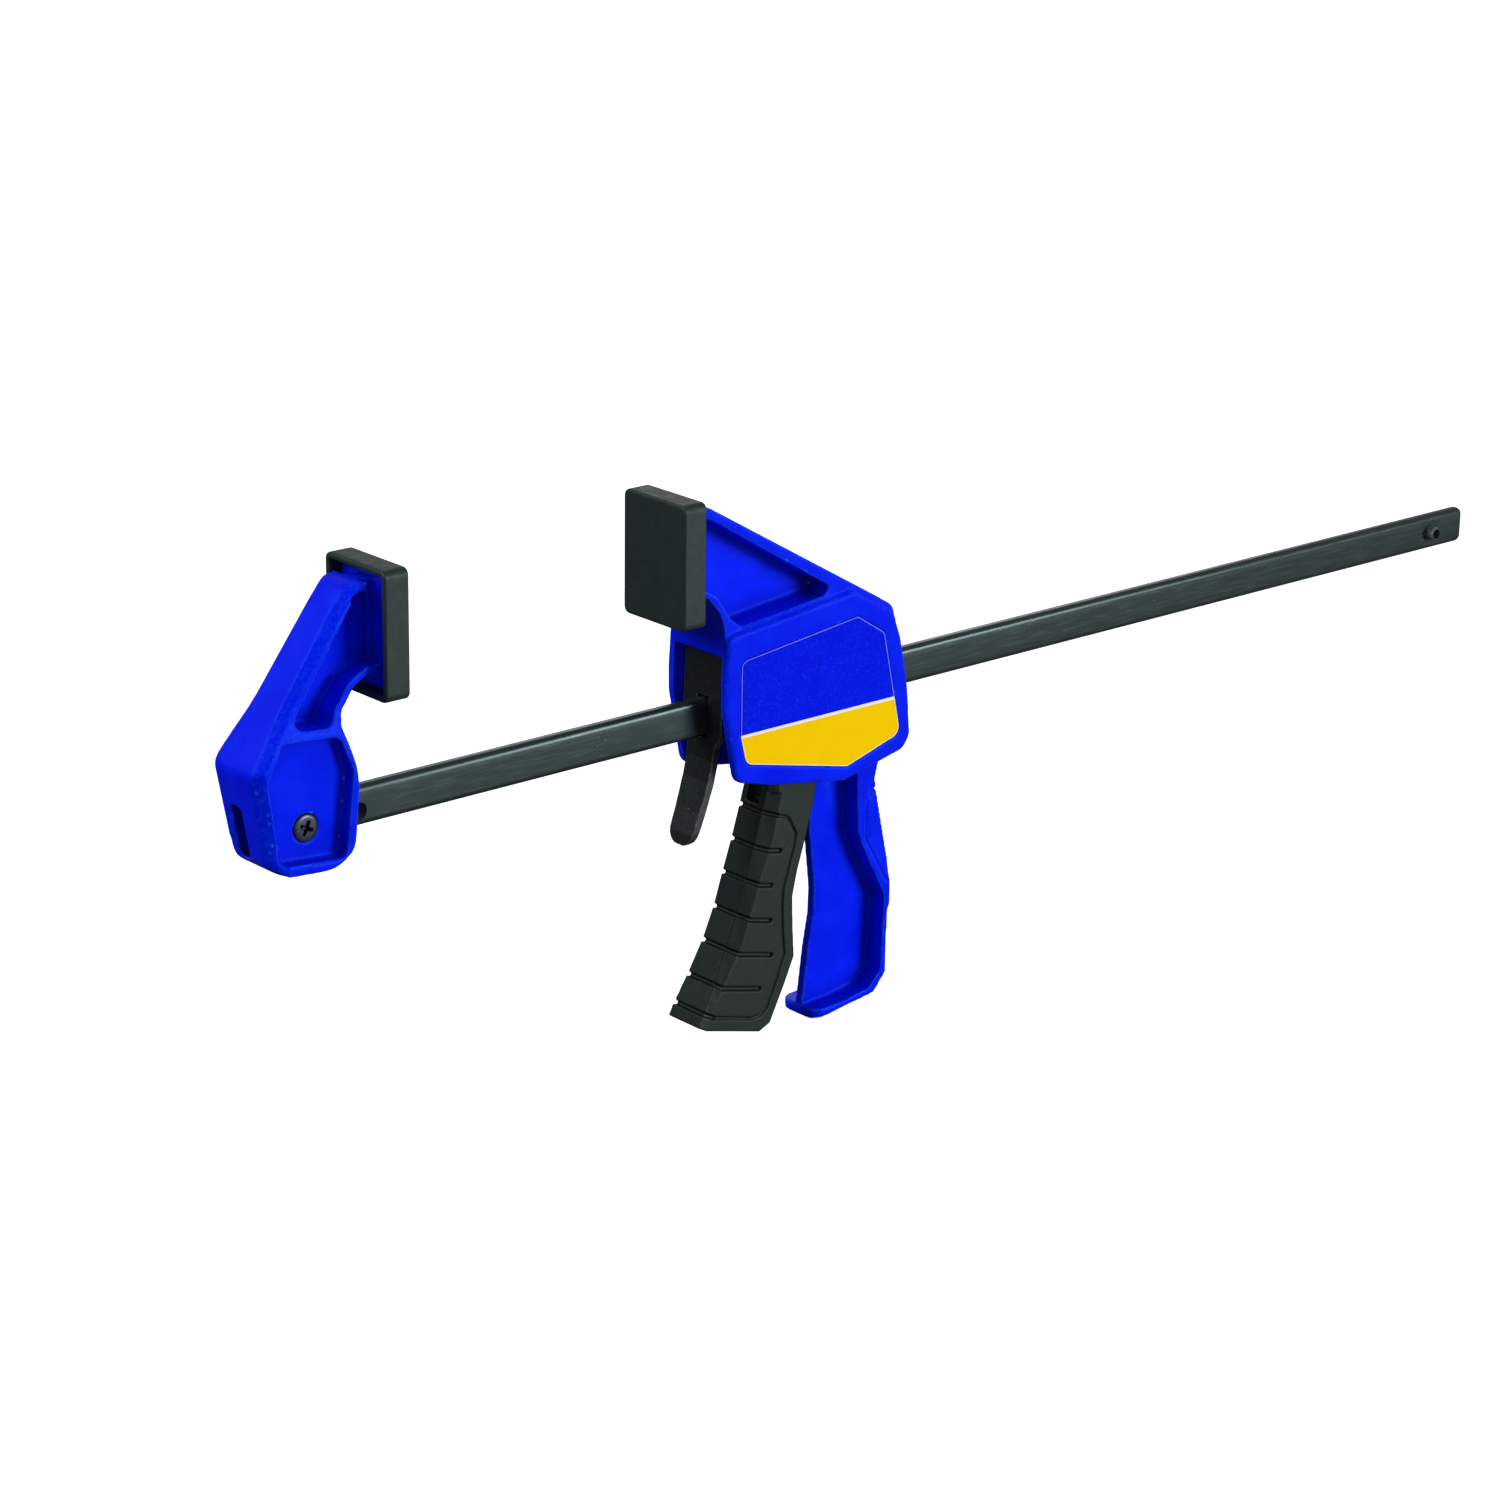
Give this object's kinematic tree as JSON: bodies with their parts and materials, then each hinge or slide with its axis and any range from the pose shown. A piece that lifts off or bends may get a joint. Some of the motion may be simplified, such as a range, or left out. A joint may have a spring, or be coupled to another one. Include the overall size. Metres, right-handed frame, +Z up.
{
  "type": "one-handed bar clamp",
  "caption": "Bar clamp worked with one hand: a fixed jaw bolted to a flat steel bar, and a sliding jaw with a squeeze trigger, a release lever and padded faces.",
  "frame": {"origin": "middle of the fixed pad's working face", "axes": "+X along the bar from the fixed jaw to the stop pin, +Z up from the bar towards the jaw tips, +Y across the jaws"},
  "size_m": [0.477, 0.0264, 0.1652],
  "materials": {
    "blue_plastic": "royal blue glass-filled nylon, finely textured",
    "pad_plastic": "soft charcoal moulded pad",
    "black_plastic": "black moulded plastic, spark-eroded texture",
    "black_steel": "black oxide on hardened steel",
    "plain_steel": "plain spring or pressed steel",
    "label_film": "printed film: blue above a white line, golden yellow below, no lettering"
  },
  "bodies": {
    "bar_assembly": {"bar": "black_steel", "stop_pin": "black_steel", "fixed_jaw": "blue_plastic", "fixed_jaw_pad": "pad_plastic", "fixed_jaw_screw": "black_steel", "fixed_jaw_nut": "plain_steel"},
    "jaw_carriage": {"moving_jaw": "blue_plastic", "moving_jaw_pad": "pad_plastic", "trigger_pin": "plain_steel", "release_spring": "plain_steel", "drive_spring": "plain_steel", "label_right": "label_film", "label_left": "label_film"},
    "trigger": {"trigger": "black_plastic"},
    "release_lever": {"release_lever": "black_steel"},
    "drive_levers": {"drive_lever_front": "plain_steel", "drive_lever_rear": "plain_steel"}
  },
  "joints": [
    {"name": "jaw_slide", "type": "slide", "parent": "bar_assembly", "child": "jaw_carriage", "axis": [1, 0, 0], "range_m": [-0.0918, 0.234]},
    {"name": "trigger_pivot", "type": "hinge", "parent": "jaw_carriage", "child": "trigger", "pos_m": [0.135, 0, -0.0347], "axis": [0, -1, 0], "range_deg": [0, 18], "stiffness_Nm_per_rad": 0.3, "springref_deg": -11.46},
    {"name": "drive_slide", "type": "slide", "parent": "jaw_carriage", "child": "drive_levers", "axis": [1, 0, 0], "range_m": [0, 0.0072], "deforming": ["drive_spring"]},
    {"name": "release_pivot", "type": "hinge", "parent": "jaw_carriage", "child": "release_lever", "pos_m": [0.1119, 0, -0.0277], "axis": [0, -1, 0], "range_deg": [0, 6], "stiffness_Nm_per_rad": 0.3, "springref_deg": -5.73, "deforming": ["release_spring"]}
  ],
  "couplings": [
    {"joint": "drive_slide", "follows": "trigger_pivot", "m_per_rad": 0.0225}
  ]
}
